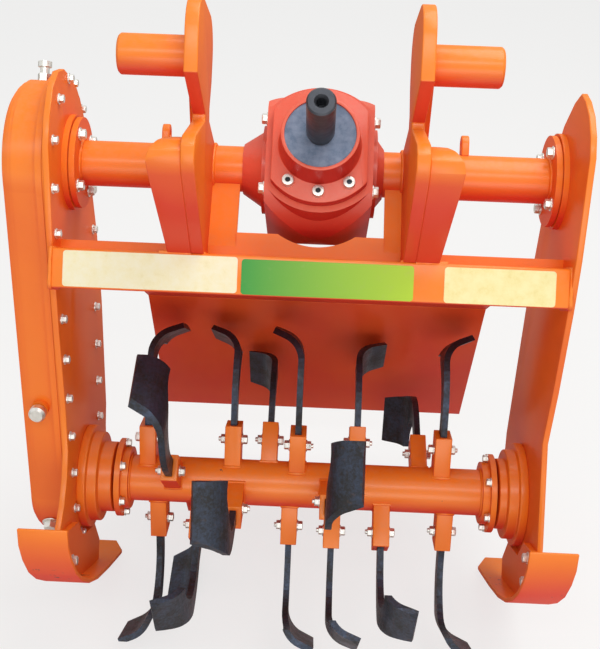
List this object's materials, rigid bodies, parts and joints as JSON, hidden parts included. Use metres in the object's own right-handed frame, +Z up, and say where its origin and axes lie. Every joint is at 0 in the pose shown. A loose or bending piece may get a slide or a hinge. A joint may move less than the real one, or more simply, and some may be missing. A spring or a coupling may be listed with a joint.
{
  "type": "rotary tiller",
  "caption": "Tractor-mounted rotary tiller with centre gearbox, chain case, side plate and a tined rotor, parked leaning back on its tines and skid ends.",
  "frame": {"origin": "on the floor under the middle of the overall box", "axes": "+X along the rotor to the side plate, +Y rearward, +Z up, parked on a floor"},
  "size_m": [0.744, 0.5541, 0.9643],
  "materials": {
    "enamel": "gloss enamel",
    "enamel_cast": "gloss enamel over a casting",
    "tine_steel": "blackened forged steel",
    "shaft_steel": "oiled turned steel",
    "seal": "dusty rubber-faced seal",
    "zinc": "zinc plated"
  },
  "bodies": {
    "frame": {"gearbox_housing": "enamel_cast", "gearbox_front_flange": "enamel_cast", "input_seal_ring": "seal", "cross_tube_left": "enamel", "cross_tube_right": "enamel", "tube_flange_left": "enamel", "tube_flange_right": "enamel", "tube_lugs": "enamel", "chain_case_plate": "enamel", "chain_case_cover": "enamel", "chain_case_breather": "zinc", "oil_level_plug": "zinc", "right_side_plate": "enamel", "front_bar": "enamel", "hood_tie": "enamel", "hood_deck": "enamel", "rear_board": "enamel", "hitch_arm_left": "enamel", "hitch_arm_right": "enamel", "hitch_stub_left": "enamel", "hitch_stub_right": "enamel", "arm_gusset_left": "enamel", "arm_gusset_right": "enamel", "arm_struts": "enamel", "inner_webs": "enamel", "cradle_plate": "enamel", "rotor_hub_left": "enamel", "rotor_hub_right": "enamel", "skid_left": "enamel", "skid_right": "enamel", "skid_brackets": "enamel"},
    "rotor": {"rotor_tube": "enamel", "rotor_flanges": "enamel", "tine_sockets": "enamel", "tines_left_hand": "tine_steel", "tines_right_hand": "tine_steel"},
    "input": {"input_shaft": "shaft_steel"}
  },
  "joints": [
    {"name": "rotor_spin", "type": "hinge", "parent": "frame", "child": "rotor", "pos_m": [0.0325, -0.03699, 0.23804], "axis": [1, 0, 0], "continuous": true},
    {"name": "input_spin", "type": "hinge", "parent": "frame", "child": "input", "pos_m": [0.0325, 0.0628, 0.7067], "axis": [0, -0.6717, 0.7408], "continuous": true}
  ],
  "couplings": [
    {"joint": "input_spin", "follows": "rotor_spin", "ratio": 2.5}
  ]
}
